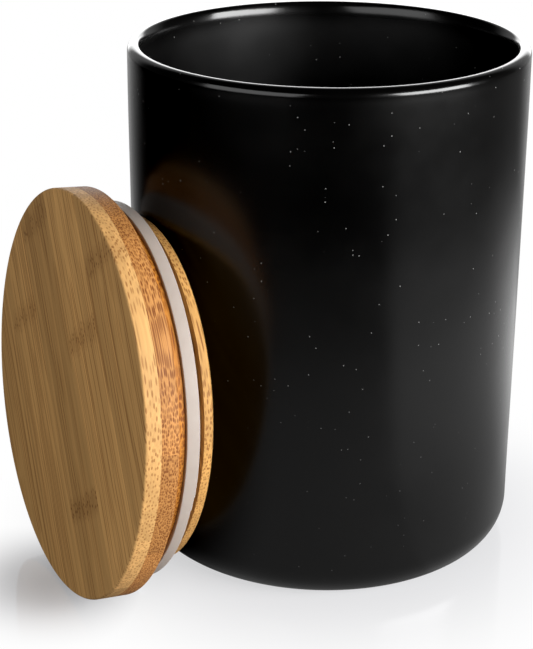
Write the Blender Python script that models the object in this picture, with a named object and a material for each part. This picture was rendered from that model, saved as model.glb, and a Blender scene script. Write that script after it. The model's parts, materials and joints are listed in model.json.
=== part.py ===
"""Empty candle jar with its lid off and leaning against it.

The jar is one glazed ceramic piece. The lid is a bamboo laminate of four plies, each ply
made of strips glued side by side, with a silicone seal ring in a groove round its plug.
Units are metres, +Z is up, and the origin is the centre of the jar's flat base.
"""
import math

import bmesh
import bpy
from mathutils import Matrix, Vector

MM = 0.001
SEGMENTS = 128                   # facets round every turned piece
GAP = 0.3 * MM                   # kept between pieces that touch

# Jar
JAR_RADIUS = 50.0 * MM
JAR_HEIGHT = 130.5 * MM
WALL = 3.7 * MM
FLOOR_THICKNESS = 5.0 * MM
BASE_CORNER_RADIAL = 8.0 * MM    # the outer base corner is a quarter ellipse
BASE_CORNER_HEIGHT = 9.0 * MM
INNER_CORNER = 8.0 * MM
RIM_OUTER_ROUND = 2.0 * MM
RIM_INNER_ROUND = 1.0 * MM

# Lid, measured along its axis from the outer face (0) to the end of the plug
FLANGE_RADIUS = 50.4 * MM
PLUG_RADIUS = 43.1 * MM
NECK_RADIUS = 45.8 * MM       # the part of the plug above the seal fits the mouth closely
FACE_PLY = 3.8 * MM
FLANGE_THICKNESS = 8.4 * MM
NECK_PLY_END = 13.8 * MM
LID_THICKNESS = 20.1 * MM
EDGE_ROUND = 0.5 * MM
PLUG_CHAMFER = 0.6 * MM

# Seal ring and the groove that it sits in
SEAL_START = 11.7 * MM
SEAL_END = 15.1 * MM
GROOVE_START = 11.4 * MM
GROOVE_END = 17.6 * MM
GROOVE_RADIUS = 41.2 * MM
SEAL_SQUEEZE = 0.3 * MM          # how much wider the ring is than the jar's mouth
SEAL_EDGE_ROUND = 0.6 * MM

# Bamboo strips: where each ply is divided, measured across the grain from the lid's centre
STRIP_WIDTH = 19.5 * MM
NARROWEST_STRIP = 4.0 * MM       # a ply has no outer sliver thinner than this
FIRST_JOINTS = {"face": -30.0 * MM, "core": -34.5 * MM, "neck": -26.0 * MM, "end": -22.0 * MM}

# Where the lid leans
LEAN = math.radians(5.0)         # the lid's top tips towards the jar
LID_BEARING = math.radians(212.0)      # direction from the jar's axis to the lid's centre
FACE_BEARING = math.radians(208.5)     # direction that the lid's face looks
GRAIN_TILT = math.radians(36.0)        # grain against the upright, in the plane of the face

COLOURS = {
    "jar_glaze": ((0.012, 0.012, 0.013), 0.38),
    "bamboo_face": ((0.50, 0.34, 0.17), 0.50),
    "bamboo_core": ((0.58, 0.35, 0.14), 0.55),
    "bamboo_neck": ((0.52, 0.29, 0.10), 0.55),
    "bamboo_end": ((0.62, 0.40, 0.18), 0.55),
    "silicone": ((0.72, 0.66, 0.62), 0.45),
}


def arc(centre_r, centre_z, radius_r, radius_z, start_deg, end_deg, steps):
    """Points on an elliptical arc in the half plane (r, z), both ends included."""
    points = []
    for i in range(steps + 1):
        angle = math.radians(start_deg + (end_deg - start_deg) * i / steps)
        points.append((centre_r + radius_r * math.cos(angle), centre_z + radius_z * math.sin(angle)))
    return points


def turned(outline, closed=False):
    """A solid of revolution about Z. An open outline is capped flat at both of its ends."""
    solid = bmesh.new()
    rings = []
    for radius, height in outline:
        ring = []
        for i in range(SEGMENTS):
            angle = 2 * math.pi * i / SEGMENTS
            ring.append(solid.verts.new((radius * math.cos(angle), radius * math.sin(angle), height)))
        rings.append(ring)
    pairs = list(zip(rings, rings[1:]))
    if closed:
        pairs.append((rings[-1], rings[0]))
    else:
        solid.faces.new(rings[0])
        solid.faces.new(rings[-1])
    for lower, upper in pairs:
        for i in range(SEGMENTS):
            k = (i + 1) % SEGMENTS
            solid.faces.new((lower[i], lower[k], upper[k], upper[i]))
    bmesh.ops.recalc_face_normals(solid, faces=solid.faces)
    return solid


def trim(solid, x, keep):
    """Cuts a solid with the plane at x and keeps its side in the direction keep (+1 or -1)."""
    geometry = solid.verts[:] + solid.edges[:] + solid.faces[:]
    cut = bmesh.ops.bisect_plane(solid, geom=geometry, dist=1e-7, plane_co=(x, 0, 0),
                                 plane_no=(keep, 0, 0), clear_inner=True)
    rim = [item for item in cut["geom_cut"] if isinstance(item, bmesh.types.BMEdge)]
    bmesh.ops.edgeloop_fill(solid, edges=rim)
    bmesh.ops.recalc_face_normals(solid, faces=solid.faces)


def material(name):
    """The named Principled BSDF material, made on first use."""
    if name in bpy.data.materials:
        return bpy.data.materials[name]
    colour, roughness = COLOURS[name]
    made = bpy.data.materials.new(name)
    made.use_nodes = True
    shader = made.node_tree.nodes["Principled BSDF"]
    shader.inputs["Base Color"].default_value = (*colour, 1.0)
    shader.inputs["Roughness"].default_value = roughness
    shader.inputs["Metallic"].default_value = 0.0
    return made


def add_object(name, solid, material_name):
    """Turns a bmesh into a named object with smooth round faces and sharp edges."""
    mesh = bpy.data.meshes.new(name)
    solid.to_mesh(mesh)
    solid.free()
    mesh.shade_smooth()
    mesh.set_sharp_from_angle(angle=math.radians(30))
    mesh.materials.append(material(material_name))
    made = bpy.data.objects.new(name, mesh)
    bpy.context.scene.collection.objects.link(made)
    return made


def jar_outline():
    """From the rim of the flat base, up the outside, over the rim and down to the inner floor."""
    inner_radius = JAR_RADIUS - WALL
    outline = arc(JAR_RADIUS - BASE_CORNER_RADIAL, BASE_CORNER_HEIGHT,
                  BASE_CORNER_RADIAL, BASE_CORNER_HEIGHT, -90, 0, 10)
    outline += arc(JAR_RADIUS - RIM_OUTER_ROUND, JAR_HEIGHT - RIM_OUTER_ROUND,
                   RIM_OUTER_ROUND, RIM_OUTER_ROUND, 0, 90, 6)
    outline += arc(inner_radius + RIM_INNER_ROUND, JAR_HEIGHT - RIM_INNER_ROUND,
                   RIM_INNER_ROUND, RIM_INNER_ROUND, 90, 180, 5)
    outline += arc(inner_radius - INNER_CORNER, FLOOR_THICKNESS + INNER_CORNER,
                   INNER_CORNER, INNER_CORNER, 0, -90, 8)
    return outline


def ply_outlines():
    """The half section of each ply in the lid's own frame: its face is at z = 0, its plug below."""
    face = arc(FLANGE_RADIUS - EDGE_ROUND, -EDGE_ROUND, EDGE_ROUND, EDGE_ROUND, 90, 0, 3)
    face.append((FLANGE_RADIUS, -FACE_PLY))
    core = [(FLANGE_RADIUS, -FACE_PLY - GAP)]
    core += arc(FLANGE_RADIUS - EDGE_ROUND, EDGE_ROUND - FLANGE_THICKNESS,
                EDGE_ROUND, EDGE_ROUND, 0, -90, 3)
    neck = [(NECK_RADIUS, -FLANGE_THICKNESS - GAP), (NECK_RADIUS, -GROOVE_START),
            (GROOVE_RADIUS, -GROOVE_START), (GROOVE_RADIUS, -NECK_PLY_END)]
    end = [(GROOVE_RADIUS, -NECK_PLY_END - GAP), (GROOVE_RADIUS, -GROOVE_END),
           (PLUG_RADIUS, -GROOVE_END), (PLUG_RADIUS, PLUG_CHAMFER - LID_THICKNESS),
           (PLUG_RADIUS - PLUG_CHAMFER, -LID_THICKNESS)]
    return {"face": face, "core": core, "neck": neck, "end": end}


def glue_joints(first, outer_radius):
    """Positions of the glue joints across one ply, one strip width apart."""
    joints = []
    position = first
    while position < outer_radius - NARROWEST_STRIP:
        joints.append(position)
        position += STRIP_WIDTH
    return joints


def build_strips(ply, outline):
    """One object for each strip of a ply. The grain and the glue joints run along local Y."""
    joints = glue_joints(FIRST_JOINTS[ply], min(radius for radius, _ in outline))
    lefts = [None] + joints
    rights = joints + [None]
    strips = []
    for number, (left, right) in enumerate(zip(lefts, rights), start=1):
        solid = turned(outline)
        if left is not None:
            trim(solid, left + GAP / 2, 1)
        if right is not None:
            trim(solid, right - GAP / 2, -1)
        strips.append(add_object(f"{ply}_strip_{number}", solid, f"bamboo_{ply}"))
    return strips


def build_seal():
    """A flat silicone ring with rounded outer edges, a little wider than the jar's mouth."""
    outer = JAR_RADIUS - WALL + SEAL_SQUEEZE
    inner = GROOVE_RADIUS + GAP
    edge = outer - SEAL_EDGE_ROUND
    outline = [(inner, -SEAL_END)]
    outline += arc(edge, SEAL_EDGE_ROUND - SEAL_END, SEAL_EDGE_ROUND, SEAL_EDGE_ROUND, -90, 0, 4)
    outline += arc(edge, -SEAL_START - SEAL_EDGE_ROUND, SEAL_EDGE_ROUND, SEAL_EDGE_ROUND, 0, 90, 4)
    outline.append((inner, -SEAL_START))
    return add_object("seal_ring", turned(outline, closed=True), "silicone")


def lid_orientation():
    """Turns the lid from lying face up to standing on its rim with its face looking outwards."""
    stand = Matrix.Rotation(FACE_BEARING, 4, "Z") @ Matrix.Rotation(math.pi / 2 - LEAN, 4, "Y")
    return stand @ Matrix.Rotation(math.pi / 2 + GRAIN_TILT, 4, "Z")


def leaning_distance(orientation):
    """How far the lid's centre stands from the jar's axis when the lid just clears the wall."""
    outward = Vector((math.cos(LID_BEARING), math.sin(LID_BEARING)))
    clear_radius = JAR_RADIUS + GAP
    nearest = 0.0
    edges = ((FLANGE_RADIUS, FLANGE_THICKNESS), (JAR_RADIUS - WALL + SEAL_SQUEEZE, SEAL_END),
             (PLUG_RADIUS, LID_THICKNESS - PLUG_CHAMFER), (PLUG_RADIUS - PLUG_CHAMFER, LID_THICKNESS))
    for radius, depth in edges:
        for i in range(SEGMENTS):
            angle = 2 * math.pi * i / SEGMENTS
            point = orientation @ Vector((radius * math.cos(angle), radius * math.sin(angle), -depth))
            flat = point.to_2d()
            along = outward.dot(flat)
            room = along ** 2 - flat.length_squared + clear_radius ** 2
            if room > 0:
                nearest = max(nearest, math.sqrt(room) - along)
    return nearest


def lid_placement():
    """The leaning lid's frame: the back edge of its flange stands on the floor."""
    orientation = lid_orientation()
    distance = leaning_distance(orientation)
    rest_radius = FLANGE_RADIUS - EDGE_ROUND
    height = rest_radius * math.cos(LEAN) + (FLANGE_THICKNESS - EDGE_ROUND) * math.sin(LEAN) + EDGE_ROUND
    centre = Vector((distance * math.cos(LID_BEARING), distance * math.sin(LID_BEARING), height))
    return Matrix.Translation(centre) @ orientation


def add_tip_axis(placement):
    """An empty on the line where the plane of the lid's face meets the floor, X along the line."""
    centre = placement.translation
    foot = centre.z * math.tan(LEAN)
    pivot = Vector((centre.x + foot * math.cos(FACE_BEARING), centre.y + foot * math.sin(FACE_BEARING), 0.0))
    axis = bpy.data.objects.new("lid_tip_axis", None)
    axis.empty_display_size = 20 * MM
    axis.location = pivot
    axis.rotation_euler = (0.0, 0.0, FACE_BEARING + math.pi / 2)
    bpy.context.scene.collection.objects.link(axis)
    return axis


def build():
    for old in list(bpy.data.objects):
        bpy.data.objects.remove(old, do_unlink=True)

    add_object("jar_body", turned(jar_outline()), "jar_glaze")

    lid_pieces = [build_seal()]
    for ply, outline in ply_outlines().items():
        lid_pieces += build_strips(ply, outline)

    placement = lid_placement()
    tip_axis = add_tip_axis(placement)
    bpy.context.view_layer.update()
    in_axis_frame = tip_axis.matrix_world.inverted() @ placement
    for piece in lid_pieces:
        piece.parent = tip_axis
        piece.matrix_local = in_axis_frame


build()
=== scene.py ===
"""Looks of the empty candle jar: satin black ceramic jar, bamboo lid with a silicone seal."""
import json
import math

import bmesh
import bpy
from mathutils import Matrix, Vector


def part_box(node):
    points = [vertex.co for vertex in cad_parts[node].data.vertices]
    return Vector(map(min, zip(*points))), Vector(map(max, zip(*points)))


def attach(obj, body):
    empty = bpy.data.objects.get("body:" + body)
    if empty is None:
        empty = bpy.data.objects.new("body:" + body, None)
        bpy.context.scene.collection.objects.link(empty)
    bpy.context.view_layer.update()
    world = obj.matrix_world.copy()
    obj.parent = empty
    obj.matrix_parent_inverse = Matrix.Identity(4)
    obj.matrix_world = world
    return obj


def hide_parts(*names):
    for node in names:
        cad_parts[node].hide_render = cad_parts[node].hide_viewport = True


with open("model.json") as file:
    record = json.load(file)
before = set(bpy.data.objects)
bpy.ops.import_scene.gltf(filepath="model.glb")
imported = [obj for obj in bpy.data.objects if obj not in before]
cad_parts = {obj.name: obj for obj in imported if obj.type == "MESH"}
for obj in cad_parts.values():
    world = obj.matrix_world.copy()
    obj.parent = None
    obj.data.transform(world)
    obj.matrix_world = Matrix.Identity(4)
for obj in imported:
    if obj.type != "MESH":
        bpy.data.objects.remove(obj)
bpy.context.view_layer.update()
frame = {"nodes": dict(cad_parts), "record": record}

MM = 0.001
OWN_PLACE = "own_place"          # mesh attribute: a point's place in its part's own frame
SHARP_DEG = 30                   # edges that turn more than this are shaded sharp

# Camera: a long lens a little above the rim, looking down at the jar. Angles are in radians
CAMERA_POSITION = Vector((0.0, -0.4139, 0.2235))
CAMERA_PITCH = 0.3881            # below the horizon
CAMERA_YAW = 0.0366              # to the left of +Y
CAMERA_ROLL = 0.0043
CAMERA_LENS = 93.8               # millimetres, for the sensor's width below
CAMERA_SENSOR = 36.0
CAMERA_NEAR = 0.02

# Jar, with its outer radius and height read from the frame
WALL = 3.7 * MM
FLOOR_THICKNESS = 5.0 * MM
BASE_CORNER_RADIAL = 8.0 * MM
BASE_CORNER_HEIGHT = 9.0 * MM
INNER_CORNER = 8.0 * MM
RIM_OUTER_ROUND = 2.0 * MM
LIP_TIGHT_RADIUS = 0.8 * MM
LIP_FLARE_RADIUS = 6.0 * MM
LIP_FLARE_DEG = 30.0
RIM_DRAW_IN = 0.10 * MM          # the hand-finished rim is slightly narrower than the body
RIM_DRAW_HEIGHT = 18.0 * MM
WALL_SET_BACK = 0.1 * MM         # room for the wall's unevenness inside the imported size
WALL_WAVE = 0.07 * MM
WAVE_FADE_HEIGHT = 20 * MM       # the unevenness and the set-back fade out below this
FOOT_HEIGHT = 0.05 * MM          # faces under this are bare clay
JAR_SEGMENTS = 256

# Lid
GRAIN_TILT = math.radians(36.0)  # grain against the upright, in the plane of the face
FLANGE_EDGE_ROUND = 0.6 * MM
PLUG_CHAMFER = 0.6 * MM
GROOVE_CLEAR = 0.3 * MM          # between the groove's floor and the seal
GROOVE_SPARE = 2.5 * MM          # the open part of the groove, on the seal's plug side
GROOVE_EDGE_CLEAR = 0.06 * MM    # between the seal and the groove's side next to the flange
GLUE_LINE = 0.01 * MM
LID_SEGMENTS = 256

# Seal
SEAL_SEGMENTS = 480
SEAL_ROUND = 0.3 * MM
SEAL_SHORT = 0.1 * MM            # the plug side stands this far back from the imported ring
SEAL_NICK = 0.4 * MM             # and this much more in the nick
SEAL_WHOLE_DEG = (-11.0, 150.0)  # the part of the round without a nick
SEAL_HALF_NICK_DEG = -15.5       # from here to the whole part, the nick is half as deep

# Glaze. Heights and radii are millimetres in the jar's own frame
GLAZE_DARK = (0.0008, 0.0008, 0.0008, 1)
GLAZE_LIGHT = (0.0020, 0.0019, 0.0018, 1)
GLAZE_SPECULAR = 0.42
RIM_ROUGHNESS = 0.10
INSIDE_ROUGHNESS = 0.38
OUTSIDE_ROUGHNESS = 0.23
RIM_GLOSS_HEIGHT = (123.0, 131.5)     # from the inside's roughness to the rim's
OUTSIDE_END_HEIGHT = (126.5, 128.5)
OUTSIDE_RADIUS = (48.0, 49.0)
SPECK_COLOUR = (0.30, 0.30, 0.29, 1)
SPECK_STRENGTH = 0.75
SPECK_CELLS = 0.62               # cells per millimetre
SPECK_CHOICE = (0.80, 0.84)      # only cells with a random value above this hold a speck
SPECK_RADIUS = (0.05, 0.11)      # from full to none, as parts of a cell
SPECK_HEIGHT = (20.0, 90.0)      # specks are faint low on the wall
SPECK_FAINT = 0.2

# Bamboo. Stretches are noise cells per millimetre across, along and across the grain
SEED_STEP = (37.1, 11.3, 23.7)
DRIFT_STRETCH = (0.05, 0.02, 0.05)    # how the fibre bundles wander
DRIFT_REACH = (2.4, 0.0, 2.4)
FIBRE_STRETCH = (1.9, 0.04, 1.9)
BROAD_STRETCH = (0.34, 0.006, 0.34)
CLOUD_STRETCH = (0.08, 0.03, 0.08)
RAGGED_STRETCH = (0.5, 0.2, 0.5)
PIT_STRETCH = (0.95, 0.75, 0.95)
BUNDLE_TINT = (0.36, 0.24, 0.16)      # of the ply's colour
KNOT_RAGGED = 5.0                     # how far a knot's edge wanders, in millimetres
KNOT_HALF_WIDTH = (0.6, 4.2)          # from full to none
SHADED_BACK_DEPTH = 20.0                       # the painted shade covers the plug's end, deeper than this under the face, in mm
SHADED_BACK_FADE = 0.3
PAINTED_BACK_SHADE = (0.34, 0.36, 0.36, 1.0)  # painted shade: the plug's end is darkened as if it lay in shade, darker than the cut edges

# Look of each ply: colour, spacing of the fibre bundles in mm, their radius as a part of that,
# their strength, and each strip's tone in order across the grain
PLIES = {
    "face": {"colour": (0.59, 0.33, 0.118), "spacing": 0.80, "size": 0.27, "strength": 0.74,
             "tones": (0.98, 1.05, 0.88, 1.10, 0.98)},
    "core": {"colour": (0.47, 0.212, 0.060), "spacing": 0.48, "size": 0.43, "strength": 1.0,
             "tones": (0.95, 1.0, 0.92, 1.04, 0.90, 1.02)},
    "neck": {"colour": (0.50, 0.20, 0.030), "spacing": 0.50, "size": 0.46, "strength": 1.0,
             "tones": (1.0, 0.93, 1.02, 0.96, 1.0)},
    "end": {"colour": (0.56, 0.30, 0.090), "spacing": 0.60, "size": 0.34, "strength": 0.90,
            "tones": (1.0, 1.04, 0.95, 1.02, 0.98)},
}
# Bamboo knots on the face: strip number to (distance along the grain in mm, strength)
FACE_KNOTS = {
    2: ((26.0, 0.75),),
    3: ((-28.0, 1.0), (45.0, 0.8)),
    4: ((9.5, 0.85),),
    5: ((23.0, 0.85),),
}

# Floor. Its pools light the object and are seen in it, and its glow is for the camera only
FLOOR_HALF = 1.5
FLOOR_DROP = 0.05 * MM
FLOOR_COLOUR = (0.20, 0.20, 0.205, 1)
FLOOR_GLOW_COLOUR = (0.985, 0.985, 1.0, 1)
FLOOR_ROUGHNESS = 0.05
FLOOR_IOR = 2.0
FLOOR_GLOW = 0.61
PAINTED_SHADOW_GLOW = 0.30              # painted contact shadow: the floor's glow is this low at the lid's foot
PAINTED_SHADOW_REACH = 0.034
NEAR_JAR = (0.040, 0.092)        # the glossy floor gives way to plain white over this reach
NEAR_LID = (0.010, 0.036)
POOL_FRONT = 0.34
POOL_RIGHT = 0.75
POOL_BACK = 0.9
POOL_END = 0.01                  # what is left of the front pool far out
FRONT_REACH = (0.15, 0.29)
FRONT_LEFT_END = (-0.85, -0.35)  # by the heading's part to the right
RIGHT_START = (0.47, 0.64)
RIGHT_NEAR = (0.07, 0.18)        # dimmer close to the jar
RIGHT_FAR = (0.16, 0.38)         # and far out
RIGHT_BACKWARD = (0.1, 0.6)      # brighter to the back
BACK_START = (0.55, 1.10)        # by the heading's part to the back

# Backdrop, by the Y part of the direction
BACK_LEVEL = 0.45                # light from its upper part
BACK_BAND = 3.4                  # the extra light just above the horizon behind the object
FRONT_LEVEL = 0.03
BACK_RAMP = (0.55, 0.80)
BAND_RAMP = (0.88, 0.95)

# Soft boxes: name, azimuth and elevation in degrees, distance, size and power.
# Azimuth 0 is on the camera's side, positive to the right
SOFT_BOXES = (
    ("key_right", 60, 18, 0.9, (0.70, 0.42), 18),
    ("fill_left", -42, 20, 0.9, (0.90, 0.60), 4.1),
)
LIGHT_TARGET = Vector((0, 0, 0.06))
BLACK_LEVEL = 0.002


# ---------------------------------------------------------------- reading the frame

def record_mount(name):
    return next(m for m in frame["record"]["mounts"] if m["name"] == name)


def record_joint(name):
    return next(j for j in frame["record"]["behaviour"]["joints"] if j["name"] == name)


def lid_frame():
    """The lid's own frame: origin at the centre of its face, Z out of the face, Y along the grain."""
    mount = record_mount("lid_face")
    normal = Vector(mount["axis"]).normalized()
    across = Vector((-normal.y, normal.x, 0.0)).normalized()
    upright = normal.cross(across)
    grain = upright * math.cos(GRAIN_TILT) - across * math.sin(GRAIN_TILT)
    side = grain.cross(normal)
    turn = Matrix((side, grain, normal)).transposed().to_4x4()
    return Matrix.Translation(Vector(mount["pos_m"])) @ turn


LID = lid_frame()
LID_FOOT = Vector(record_joint("lid_tip")["pos_m"])


def lid_span(node):
    """A lid node's extent in the lid's frame: (low x, high x, low z, high z, low radius, high radius)."""
    into_lid = LID.inverted()
    points = [into_lid @ v.co for v in frame["nodes"][node].data.vertices]
    radii = [math.hypot(p.x, p.y) for p in points]
    xs = [p.x for p in points]
    zs = [p.z for p in points]
    return min(xs), max(xs), min(zs), max(zs), min(radii), max(radii)


def ply_nodes(ply):
    return sorted(name for name in frame["nodes"] if name.startswith(ply + "_strip"))


def ply_radius(ply):
    return max(lid_span(node)[5] for node in ply_nodes(ply))


# ---------------------------------------------------------------- mesh building

def arc(centre_r, centre_z, radius_r, radius_z, start_deg, end_deg, steps):
    points = []
    for i in range(steps + 1):
        angle = math.radians(start_deg + (end_deg - start_deg) * i / steps)
        points.append((centre_r + radius_r * math.cos(angle), centre_z + radius_z * math.sin(angle)))
    return points


def straight(start, end, steps):
    """Points between two outline points, both left out."""
    return [(start[0] + (end[0] - start[0]) * i / steps, start[1] + (end[1] - start[1]) * i / steps)
            for i in range(1, steps)]


def turned(outline, segments, closed=False, shift=None):
    """A solid of revolution about Z. shift(angle, radius, height) may move each point a little."""
    solid = bmesh.new()
    rings = []
    for radius, height in outline:
        ring = []
        for i in range(segments):
            angle = 2 * math.pi * i / segments
            r, z = shift(angle, radius, height) if shift else (radius, height)
            ring.append(solid.verts.new((r * math.cos(angle), r * math.sin(angle), z)))
        rings.append(ring)
    pairs = list(zip(rings, rings[1:]))
    if closed:
        pairs.append((rings[-1], rings[0]))
    else:
        solid.faces.new(rings[0])
        solid.faces.new(rings[-1])
    for lower, upper in pairs:
        for i in range(segments):
            k = (i + 1) % segments
            solid.faces.new((lower[i], lower[k], upper[k], upper[i]))
    bmesh.ops.recalc_face_normals(solid, faces=solid.faces)
    return solid


def trim(solid, x, keep):
    """Cuts a solid with the plane at x and keeps its side in the direction keep (+1 or -1)."""
    geometry = solid.verts[:] + solid.edges[:] + solid.faces[:]
    cut = bmesh.ops.bisect_plane(solid, geom=geometry, dist=1e-7, plane_co=(x, 0, 0),
                                 plane_no=(keep, 0, 0), clear_inner=True)
    rim = [item for item in cut["geom_cut"] if isinstance(item, bmesh.types.BMEdge)]
    bmesh.ops.edgeloop_fill(solid, edges=rim)
    bmesh.ops.recalc_face_normals(solid, faces=solid.faces)


def add_piece(name, solid, placement, body, replaced, materials):
    """Makes a piece of a solid built in its part's own frame. Its materials follow that frame."""
    mesh = bpy.data.meshes.new(name)
    solid.to_mesh(mesh)
    solid.free()
    own = mesh.attributes.new(OWN_PLACE, "FLOAT_VECTOR", "POINT")
    own.data.foreach_set("vector", [coordinate for vertex in mesh.vertices for coordinate in vertex.co])
    mesh.transform(placement)
    mesh.shade_smooth()
    mesh.set_sharp_from_angle(angle=math.radians(SHARP_DEG))
    for material in materials:
        mesh.materials.append(material)
    piece = bpy.data.objects.new(name, mesh)
    bpy.context.scene.collection.objects.link(piece)
    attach(piece, body)
    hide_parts(replaced)


# ---------------------------------------------------------------- materials

class Tree:
    """Short calls that add nodes to one material's or world's node tree."""

    def __init__(self, owner):
        owner.use_nodes = True
        self.nodes = owner.node_tree.nodes
        self.links = owner.node_tree.links

    def put(self, value, socket):
        """Links a socket, or sets a plain value."""
        if isinstance(value, bpy.types.NodeSocket):
            self.links.new(value, socket)
        elif value is not None:
            socket.default_value = value

    def node(self, kind, **settings):
        made = self.nodes.new(kind)
        for key, value in settings.items():
            setattr(made, key, value)
        return made

    def math(self, operation, a, b=None):
        made = self.node("ShaderNodeMath", operation=operation)
        self.put(a, made.inputs[0])
        self.put(b, made.inputs[1])
        return made.outputs[0]

    def product(self, first, *others):
        for other in others:
            first = self.math("MULTIPLY", first, other)
        return first

    def vector(self, operation, a, b=None):
        made = self.node("ShaderNodeVectorMath", operation=operation)
        self.put(a, made.inputs[0])
        self.put(b, made.inputs[1])
        return made.outputs[0]

    def length(self, a):
        made = self.node("ShaderNodeVectorMath", operation="LENGTH")
        self.put(a, made.inputs[0])
        return made.outputs["Value"]

    def axis(self, place, index):
        """One coordinate of a vector, 0 to 2."""
        made = self.node("ShaderNodeSeparateXYZ")
        self.put(place, made.inputs[0])
        return made.outputs[index]

    def channel(self, colour, index):
        """One channel of a colour, 0 to 2."""
        made = self.node("ShaderNodeSeparateColor")
        self.put(colour, made.inputs[0])
        return made.outputs[index]

    def blend(self, factor, a, b):
        """A number between a, at factor 0, and b, at factor 1."""
        made = self.node("ShaderNodeMix", data_type="FLOAT")
        for value, socket in zip((factor, a, b), (made.inputs[0], made.inputs[2], made.inputs[3])):
            self.put(value, socket)
        return made.outputs[0]

    def ramp(self, value, low, high, start=0.0, end=1.0):
        """start where value is low or under, end where it is high or over, smooth in between."""
        made = self.node("ShaderNodeMapRange", interpolation_type="SMOOTHSTEP")
        for item, socket in zip((value, low, high, start, end), made.inputs):
            self.put(item, socket)
        return made.outputs[0]

    def mix(self, factor, a, b, blend_type="MIX"):
        """A colour between a, at factor 0, and b, or their product, at factor 1."""
        made = self.node("ShaderNodeMix", data_type="RGBA", blend_type=blend_type)
        for value, socket in zip((factor, a, b), (made.inputs[0], made.inputs[6], made.inputs[7])):
            self.put(value, socket)
        return made.outputs[2]

    def noise(self, place, scale=1.0, detail=2.0, rough=0.5, output="Fac"):
        """Noise with scale cells per unit: one number, or three numbers, one for each axis."""
        if isinstance(scale, tuple):
            place, scale = self.vector("MULTIPLY", place, scale), 1.0
        made = self.node("ShaderNodeTexNoise")
        self.put(place, made.inputs["Vector"])
        made.inputs["Scale"].default_value = scale
        made.inputs["Detail"].default_value = detail
        made.inputs["Roughness"].default_value = rough
        return made.outputs[output]

    def cells(self, place, randomness=1.0, dimensions="3D"):
        """Each cell's distance from its point, and its random colour."""
        made = self.node("ShaderNodeTexVoronoi", feature="F1", voronoi_dimensions=dimensions)
        self.put(place, made.inputs["Vector"])
        made.inputs["Scale"].default_value = 1.0
        made.inputs["Randomness"].default_value = randomness
        return made.outputs["Distance"], made.outputs["Color"]

    def place_mm(self, offset=(0.0, 0.0, 0.0)):
        """The piece's own coordinates in millimetres, with an offset that acts as a seed."""
        coordinates = self.node("ShaderNodeAttribute", attribute_name=OWN_PLACE).outputs["Vector"]
        return self.vector("ADD", self.vector("MULTIPLY", coordinates, (1000.0,) * 3), offset)

    def bump(self, height, strength, distance):
        made = self.node("ShaderNodeBump")
        made.inputs["Strength"].default_value = strength
        made.inputs["Distance"].default_value = distance
        self.put(height, made.inputs["Height"])
        return made.outputs[0]

    def surface(self, values):
        """Sets or links the inputs of the material's own shader, by their names."""
        shader = self.nodes["Principled BSDF"]
        for name, value in values.items():
            self.put(value, shader.inputs[name])
        return shader


def black_glaze():
    """Satin black glaze: faint tone changes, an even fine texture, and sparse pale specks."""
    material = bpy.data.materials.new("black_glaze")
    tree = Tree(material)
    place = tree.place_mm()
    height = tree.axis(place, 2)
    cloud = tree.noise(place, scale=0.05, detail=3.0)

    distance, random = tree.cells(tree.vector("MULTIPLY", place, (SPECK_CELLS,) * 3))
    speck = tree.product(tree.ramp(distance, *SPECK_RADIUS, 1.0, 0.0),
                         tree.ramp(tree.channel(random, 0), *SPECK_CHOICE),
                         tree.ramp(height, *SPECK_HEIGHT, SPECK_FAINT, 1.0),
                         SPECK_STRENGTH)

    skin = tree.noise(place, scale=0.9)
    wave = tree.noise(place, scale=0.06, detail=1.0)
    relief = tree.math("ADD", tree.math("MULTIPLY", skin, 0.05), wave)

    radius = tree.length(tree.vector("MULTIPLY", place, (1.0, 1.0, 0.0)))
    outside = tree.product(tree.ramp(height, *OUTSIDE_END_HEIGHT, 1.0, 0.0),
                           tree.ramp(radius, *OUTSIDE_RADIUS))
    roughness = tree.ramp(height, *RIM_GLOSS_HEIGHT, INSIDE_ROUGHNESS, RIM_ROUGHNESS)
    roughness = tree.blend(outside, roughness, OUTSIDE_ROUGHNESS)
    roughness = tree.math("ADD", roughness, tree.ramp(cloud, 0.3, 0.7, -0.02, 0.03))
    tree.surface({
        "Base Color": tree.mix(speck, tree.mix(cloud, GLAZE_DARK, GLAZE_LIGHT), SPECK_COLOUR),
        "Roughness": roughness,
        "Normal": tree.bump(relief, strength=0.35, distance=0.25 * MM),
        "Specular IOR Level": GLAZE_SPECULAR,
    })
    return material


def bare_clay():
    """The unglazed foot of the jar."""
    material = bpy.data.materials.new("bare_clay")
    tree = Tree(material)
    grains = tree.noise(tree.place_mm(), scale=1.6, detail=4.0)
    tree.surface({
        "Base Color": tree.mix(grains, (0.50, 0.46, 0.40, 1), (0.68, 0.64, 0.57, 1)),
        "Roughness": 0.85,
        "Normal": tree.bump(grains, strength=0.5, distance=0.1 * MM),
    })
    return material


def silicone():
    """Milky silicone with a faint cloudiness and a soft surface."""
    material = bpy.data.materials.new("silicone")
    tree = Tree(material)
    place = tree.place_mm()
    cloud = tree.noise(place, scale=0.3, detail=3.0)
    grain = tree.noise(place, scale=3.0)
    tree.surface({
        "Base Color": tree.mix(cloud, (0.35, 0.30, 0.265, 1), (0.395, 0.34, 0.30, 1)),
        "Roughness": 0.6,
        "Normal": tree.bump(grain, strength=0.25, distance=0.05 * MM),
        "Specular IOR Level": 0.3,
        "Subsurface Weight": 0.25,
        "Subsurface Radius": (1.0, 0.7, 0.6),
        "Subsurface Scale": 0.8 * MM,
    })
    return material


def shade(colour, factor):
    return tuple(channel * factor for channel in colour[:3]) + (1.0,)


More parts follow.
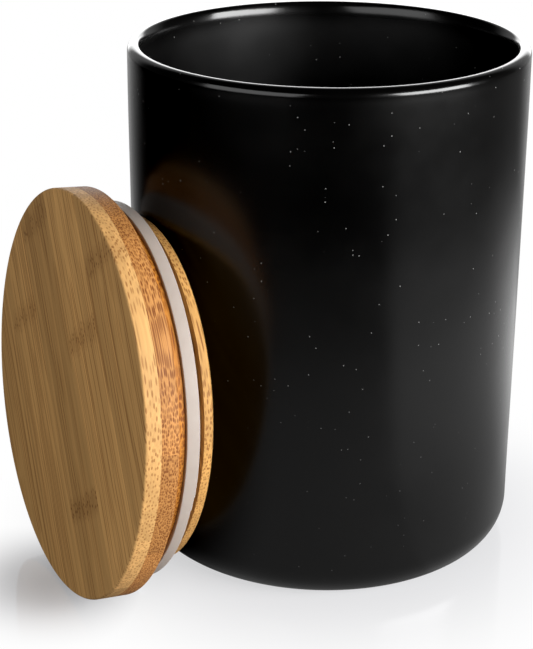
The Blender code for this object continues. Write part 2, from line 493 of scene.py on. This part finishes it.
def knot_mask(tree, place, knots):
    """How strongly each point lies in one of the knots, which run across the grain."""
    mask = 0.0
    along = tree.axis(tree.place_mm(), 1)
    ragged = tree.noise(place, RAGGED_STRETCH, detail=3.0)
    wander = tree.math("MULTIPLY", tree.math("SUBTRACT", ragged, 0.5), KNOT_RAGGED)
    for position, strength in knots:
        off = tree.math("ADD", tree.math("SUBTRACT", along, position), wander)
        band = tree.ramp(tree.math("ABSOLUTE", off), *KNOT_HALF_WIDTH, strength, 0.0)
        mask = tree.math("MAXIMUM", band, mask)
    return mask


def bamboo(name, colour, look, knots, seed):
    """Solid bamboo: fibre bundles run along Y through the whole strip, so they show as dots where
    the strip is cut across its grain and as streaks along it. look is one of PLIES, and knots are
    (y, strength) in mm."""
    material = bpy.data.materials.new(name)
    tree = Tree(material)
    place = tree.place_mm(tuple(seed * step for step in SEED_STEP))
    drift = tree.noise(place, DRIFT_STRETCH, output="Color")
    drift = tree.vector("MULTIPLY", tree.vector("SUBTRACT", drift, (0.5, 0.5, 0.5)), DRIFT_REACH)
    place = tree.vector("ADD", place, drift)

    section = tree.node("ShaderNodeCombineXYZ")
    tree.put(tree.math("DIVIDE", tree.axis(place, 0), look["spacing"]), section.inputs[0])
    tree.put(tree.math("DIVIDE", tree.axis(place, 2), look["spacing"]), section.inputs[1])
    distance, random = tree.cells(section.outputs[0], 0.8, "2D")
    bundle = tree.product(tree.ramp(distance, look["size"] * 0.6, look["size"] * 1.3, 1.0, 0.0),
                          tree.ramp(tree.channel(random, 0), 0.0, 1.0, 0.5, 1.0))

    fibre = tree.noise(place, FIBRE_STRETCH, detail=4.0, rough=0.65)
    broad = tree.noise(place, BROAD_STRETCH)
    cloud = tree.noise(place, CLOUD_STRETCH)

    # from the widest bands of tone to the finest, then the bundles, the knots and the painted shade on the
    # plug's end
    tone = tree.mix(tree.ramp(broad, 0.32, 0.68), shade(colour, 0.90), shade(colour, 1.12))
    tone = tree.mix(tree.ramp(cloud, 0.35, 0.75, 0.0, 0.35), tone, shade(colour, 0.78))
    tone = tree.mix(tree.ramp(fibre, 0.38, 0.60, 0.26, 0.0), tone, shade(colour, 0.55))
    dark = tuple(channel * tint for channel, tint in zip(colour, BUNDLE_TINT)) + (1.0,)
    tone = tree.mix(tree.math("MULTIPLY", bundle, look["strength"]), tone, dark)
    if knots:
        distance, _ = tree.cells(tree.vector("MULTIPLY", place, PIT_STRETCH))
        pit = tree.ramp(distance, 0.12, 0.42, 1.0, 0.25)
        tone = tree.mix(tree.math("MULTIPLY", knot_mask(tree, place, knots), pit), tone, shade(dark, 0.8))
    # painted shade: the plug's end is darkened as if it lay in shade
    depth = tree.axis(tree.place_mm(), 2)
    painted_shade_at_back = tree.ramp(depth, -SHADED_BACK_DEPTH, SHADED_BACK_FADE - SHADED_BACK_DEPTH, 1.0, 0.0)
    tone = tree.mix(painted_shade_at_back, tone, tree.mix(1.0, tone, PAINTED_BACK_SHADE, "MULTIPLY"))

    relief = tree.math("SUBTRACT", tree.math("MULTIPLY", fibre, 0.5), bundle)
    tree.surface({
        "Base Color": tone,
        "Roughness": tree.ramp(fibre, 0.3, 0.7, 0.68, 0.58),
        "Normal": tree.bump(relief, strength=0.30, distance=0.06 * MM),
        "Specular IOR Level": 0.22,
    })
    return material


# ---------------------------------------------------------------- jar

def jar_outline(radius, height):
    """From the foot, up the outside, over the rim, down the inside to the floor."""
    inner = radius - WALL
    corner = arc(radius - BASE_CORNER_RADIAL, BASE_CORNER_HEIGHT,
                 BASE_CORNER_RADIAL, BASE_CORNER_HEIGHT, -90, 0, steps=18)
    rim_out = arc(radius - RIM_OUTER_ROUND, height - RIM_OUTER_ROUND,
                  RIM_OUTER_ROUND, RIM_OUTER_ROUND, 0, 90, steps=10)
    # the inside rounds over tightly at the top and then flares gently into the wall
    flare = math.radians(LIP_FLARE_DEG)
    tight_r = inner + LIP_FLARE_RADIUS * (1 - math.cos(flare)) + LIP_TIGHT_RADIUS * math.cos(flare)
    rim_in = arc(tight_r, height - LIP_TIGHT_RADIUS, LIP_TIGHT_RADIUS, LIP_TIGHT_RADIUS,
                 90, 180 - LIP_FLARE_DEG, steps=7)
    flare_z = rim_in[-1][1] - LIP_FLARE_RADIUS * math.sin(flare)
    rim_in += arc(inner + LIP_FLARE_RADIUS, flare_z, LIP_FLARE_RADIUS, LIP_FLARE_RADIUS,
                  180 - LIP_FLARE_DEG, 180, steps=8)[1:]
    inner_corner = arc(inner - INNER_CORNER, FLOOR_THICKNESS + INNER_CORNER,
                       INNER_CORNER, INNER_CORNER, 0, -90, steps=14)
    outline = corner + straight(corner[-1], rim_out[0], steps=40) + rim_out
    outline += rim_in + straight(rim_in[-1], inner_corner[0], steps=36) + inner_corner
    return outline


def jar_shift(radius, height):
    """The rim draws in a little, and the wall has the slight unevenness of a cast pot."""
    def shift(angle, r, z):
        upper = max(0.0, (z - height + RIM_DRAW_HEIGHT) / RIM_DRAW_HEIGHT)
        side = max(0.0, min(1.0, (r - radius + 2 * WALL) / WALL))
        drawn = r - RIM_DRAW_IN * upper * upper * (3 - 2 * min(upper, 1.0)) * side
        middle = min(1.0, max(0.0, z / WAVE_FADE_HEIGHT))
        wave = math.sin(2 * angle + 0.6) + 0.5 * math.sin(3 * angle + 30 * z)
        return drawn - WALL_SET_BACK * middle + WALL_WAVE * middle * wave, z
    return shift


def build_jar():
    low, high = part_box("jar_body")
    radius = (high[0] - low[0]) / 2
    height = high[2] - low[2]
    solid = turned(jar_outline(radius, height), JAR_SEGMENTS, shift=jar_shift(radius, height))
    for face in solid.faces:
        if max(v.co.z for v in face.verts) < FOOT_HEIGHT:
            face.material_index = 1
    add_piece("jar", solid, Matrix.Identity(4), "jar", "jar_body",
              [black_glaze(), bare_clay()])


# ---------------------------------------------------------------- lid

def lid_outlines():
    """Half sections of the four plies, with their depths and radii read from the frame."""
    spans = {ply: lid_span(ply_nodes(ply)[1]) for ply in PLIES}
    flange, neck_radius, plug = ply_radius("face"), ply_radius("neck"), ply_radius("end")
    bottom = spans["end"][2]
    face_core = (spans["face"][2] + spans["core"][3]) / 2
    core_neck = spans["core"][2]
    neck_end = (spans["neck"][2] + spans["end"][3]) / 2
    _, _, seal_bottom, seal_top, seal_inner, _ = lid_span("seal_ring")
    groove = seal_inner - GROOVE_CLEAR
    groove_top = seal_top + GROOVE_EDGE_CLEAR
    groove_bottom = seal_bottom - GROOVE_SPARE
    edge = flange - FLANGE_EDGE_ROUND
    face = arc(edge, -FLANGE_EDGE_ROUND, FLANGE_EDGE_ROUND, FLANGE_EDGE_ROUND, 90, 0, steps=5)
    face.append((flange, face_core + GLUE_LINE))
    core = [(flange, face_core)]
    core += arc(edge, core_neck + FLANGE_EDGE_ROUND, FLANGE_EDGE_ROUND, FLANGE_EDGE_ROUND, 0, -90, steps=5)
    neck = [(neck_radius, core_neck - GLUE_LINE), (neck_radius, groove_top), (groove, groove_top),
            (groove, neck_end)]
    end = [(groove, neck_end - GLUE_LINE), (groove, groove_bottom), (plug, groove_bottom),
           (plug, bottom + PLUG_CHAMFER), (plug - PLUG_CHAMFER, bottom)]
    return {"face": face, "core": core, "neck": neck, "end": end}


def build_strips(ply, outline):
    look = PLIES[ply]
    nodes = ply_nodes(ply)
    spans = [lid_span(node) for node in nodes]
    joints = [(left[1] + right[0]) / 2 for left, right in zip(spans, spans[1:])]
    lefts = [None] + joints
    rights = joints + [None]
    for number, (node, left, right) in enumerate(zip(nodes, lefts, rights), start=1):
        solid = turned(outline, LID_SEGMENTS)
        if left is not None:
            trim(solid, left + GLUE_LINE / 2, 1)
        if right is not None:
            trim(solid, right - GLUE_LINE / 2, -1)
        knots = FACE_KNOTS.get(number, ()) if ply == "face" else ()
        colour = shade(look["colour"], look["tones"][number - 1])
        seed = number + 7 * list(PLIES).index(ply)
        wood = bamboo(f"{node}_wood", colour, look, knots, seed)
        add_piece(f"{node}_bamboo", solid, LID, "lid", node, [wood])


def seal_shift(middle):
    """The ring's plug side steps back in two small nicks, low on the side that faces the viewer."""
    def shift(angle, r, z):
        # the rim's rightmost point, as the face is seen, is at minus the grain's tilt in this frame
        around = (math.degrees(angle + GRAIN_TILT) + 180.0) % 360.0 - 180.0
        back = SEAL_NICK
        if SEAL_WHOLE_DEG[0] < around < SEAL_WHOLE_DEG[1]:
            back = 0.0
        elif SEAL_HALF_NICK_DEG < around <= SEAL_WHOLE_DEG[0]:
            back = SEAL_NICK * 0.5
        return (r, z + back) if z < middle else (r, z)
    return shift


def build_seal():
    _, _, bottom, top, inner, outer = lid_span("seal_ring")
    bottom += SEAL_SHORT
    edge = outer - SEAL_ROUND
    outline = [(inner, bottom)]
    outline += arc(edge, bottom + SEAL_ROUND, SEAL_ROUND, SEAL_ROUND, -90, 0, steps=6)
    outline += arc(edge, top - SEAL_ROUND, SEAL_ROUND, SEAL_ROUND, 0, 90, steps=6)
    outline.append((inner, top))
    solid = turned(outline, SEAL_SEGMENTS, closed=True, shift=seal_shift((bottom + top) / 2))
    add_piece("seal", solid, LID, "lid", "seal_ring", [silicone()])


# ---------------------------------------------------------------- stage

def floor_pools(tree, place, reach):
    """What the floor sends to the object: dim in front of it, bright to its right and its back."""
    heading = tree.vector("NORMALIZE", place)
    rightward, backward = tree.axis(heading, 0), tree.axis(heading, 1)
    front = tree.product(tree.ramp(reach, *FRONT_REACH, POOL_FRONT, POOL_END),
                         tree.ramp(rightward, *FRONT_LEFT_END))
    right = tree.product(tree.ramp(rightward, *RIGHT_START, 0.0, POOL_RIGHT),
                         tree.ramp(reach, *RIGHT_FAR, 1.0, 0.1),
                         tree.ramp(reach, *RIGHT_NEAR, 0.55, 1.0),
                         tree.ramp(backward, *RIGHT_BACKWARD, 1.0, 1.6))
    back = tree.ramp(backward, *BACK_START, 0.0, POOL_BACK)
    return tree.math("MAXIMUM", tree.math("MAXIMUM", front, right), back)


def pale_floor():
    """Pale and glossy near the object and plain white further out for the camera, with a painted contact
    shadow, a little darker, at the lid's foot. For all other rays it has the pools."""
    material = bpy.data.materials.new("pale_floor")
    tree = Tree(material)
    place = tree.node("ShaderNodeTexCoord").outputs["Object"]
    seen = tree.node("ShaderNodeLightPath").outputs["Is Camera Ray"]
    reach = tree.length(place)
    from_lid = tree.length(tree.vector("SUBTRACT", place, LID_FOOT))
    pools = floor_pools(tree, place, reach)
    # painted contact shadow: the floor's glow is lowered near the lid's foot
    glow = tree.ramp(from_lid, 0.0, PAINTED_SHADOW_REACH, PAINTED_SHADOW_GLOW, FLOOR_GLOW)
    near_floor = tree.surface({
        "Base Color": FLOOR_COLOUR,
        "Roughness": FLOOR_ROUGHNESS,
        "IOR": FLOOR_IOR,
        "Emission Color": FLOOR_GLOW_COLOUR,
        "Emission Strength": tree.blend(seen, pools, glow),
    })
    far_floor = tree.node("ShaderNodeEmission")
    tree.put(tree.blend(seen, pools, 1.0), far_floor.inputs["Strength"])

    near = tree.math("MAXIMUM", tree.ramp(reach, *NEAR_JAR, 1.0, 0.0),
                     tree.ramp(from_lid, *NEAR_LID, 1.0, 0.0))
    mixed = tree.node("ShaderNodeMixShader")
    tree.put(tree.math("MULTIPLY", near, seen), mixed.inputs[0])
    tree.put(far_floor.outputs[0], mixed.inputs[1])
    tree.put(near_floor.outputs[0], mixed.inputs[2])
    tree.put(mixed.outputs[0], tree.nodes["Material Output"].inputs["Surface"])
    return material


def build_floor():
    mesh = bpy.data.meshes.new("floor")
    half = FLOOR_HALF
    corners = [(-half, -half, 0), (half, -half, 0), (half, half, 0), (-half, half, 0)]
    mesh.from_pydata(corners, [], [(0, 1, 2, 3)])
    mesh.materials.append(pale_floor())
    floor = bpy.data.objects.new("floor", mesh)
    floor.location = (0, 0, -FLOOR_DROP)
    bpy.context.scene.collection.objects.link(floor)


def add_soft_box(name, azimuth_deg, elevation_deg, distance, size, power):
    """A rectangular light aimed at the object, which the camera doesn't see."""
    azimuth = math.radians(azimuth_deg)
    elevation = math.radians(elevation_deg)
    away = Vector((math.sin(azimuth) * math.cos(elevation), -math.cos(azimuth) * math.cos(elevation),
                   math.sin(elevation)))
    data = bpy.data.lights.new(name, "AREA")
    data.shape = "RECTANGLE"
    data.size, data.size_y = size
    data.energy = power
    light = bpy.data.objects.new(name, data)
    light.location = LIGHT_TARGET + away * distance
    light.rotation_mode = "QUATERNION"
    light.rotation_quaternion = away.to_track_quat("Z", "Y")
    light.visible_camera = False
    bpy.context.scene.collection.objects.link(light)


def build_world():
    """White behind the object; for light and reflections it is bright at the back and dim in front."""
    world = bpy.data.worlds.new("studio")
    bpy.context.scene.world = world
    tree = Tree(world)
    background = tree.nodes["Background"]
    backward = tree.axis(tree.node("ShaderNodeTexCoord").outputs["Generated"], 1)
    back = tree.math("ADD", tree.ramp(backward, *BACK_RAMP, FRONT_LEVEL, BACK_LEVEL),
                     tree.ramp(backward, *BAND_RAMP, 0.0, BACK_BAND))
    seen = tree.node("ShaderNodeLightPath").outputs["Is Camera Ray"]
    tree.put(tree.math("MAXIMUM", back, seen), background.inputs["Strength"])
    background.inputs["Color"].default_value = (1, 1, 1, 1)


def build_camera():
    pitch, yaw = CAMERA_PITCH, CAMERA_YAW
    forward = Vector((-math.sin(yaw) * math.cos(pitch), math.cos(yaw) * math.cos(pitch), -math.sin(pitch)))
    right = Vector((math.cos(yaw), math.sin(yaw), 0.0))
    above = right.cross(forward)
    turn = Matrix((right, above, -forward)).transposed().to_4x4()
    roll = Matrix.Rotation(CAMERA_ROLL, 4, "Z")
    data = bpy.data.cameras.new("camera")
    data.lens = CAMERA_LENS
    data.sensor_width = CAMERA_SENSOR
    data.clip_start = CAMERA_NEAR
    camera = bpy.data.objects.new("camera", data)
    camera.matrix_world = Matrix.Translation(CAMERA_POSITION) @ turn @ roll
    bpy.context.scene.collection.objects.link(camera)
    bpy.context.scene.camera = camera


def grade_picture():
    """Plain display colours with slightly deeper blacks, as a studio picture is graded."""
    view = bpy.context.scene.view_settings
    view.view_transform = "Standard"
    view.use_curve_mapping = True
    view.curve_mapping.black_level = (BLACK_LEVEL,) * 3
    view.curve_mapping.update()


# ---------------------------------------------------------------- everything

build_camera()
build_jar()
for ply_name, ply_outline in lid_outlines().items():
    build_strips(ply_name, ply_outline)
build_seal()
build_floor()
build_world()
for soft_box in SOFT_BOXES:
    add_soft_box(*soft_box)
grade_picture()
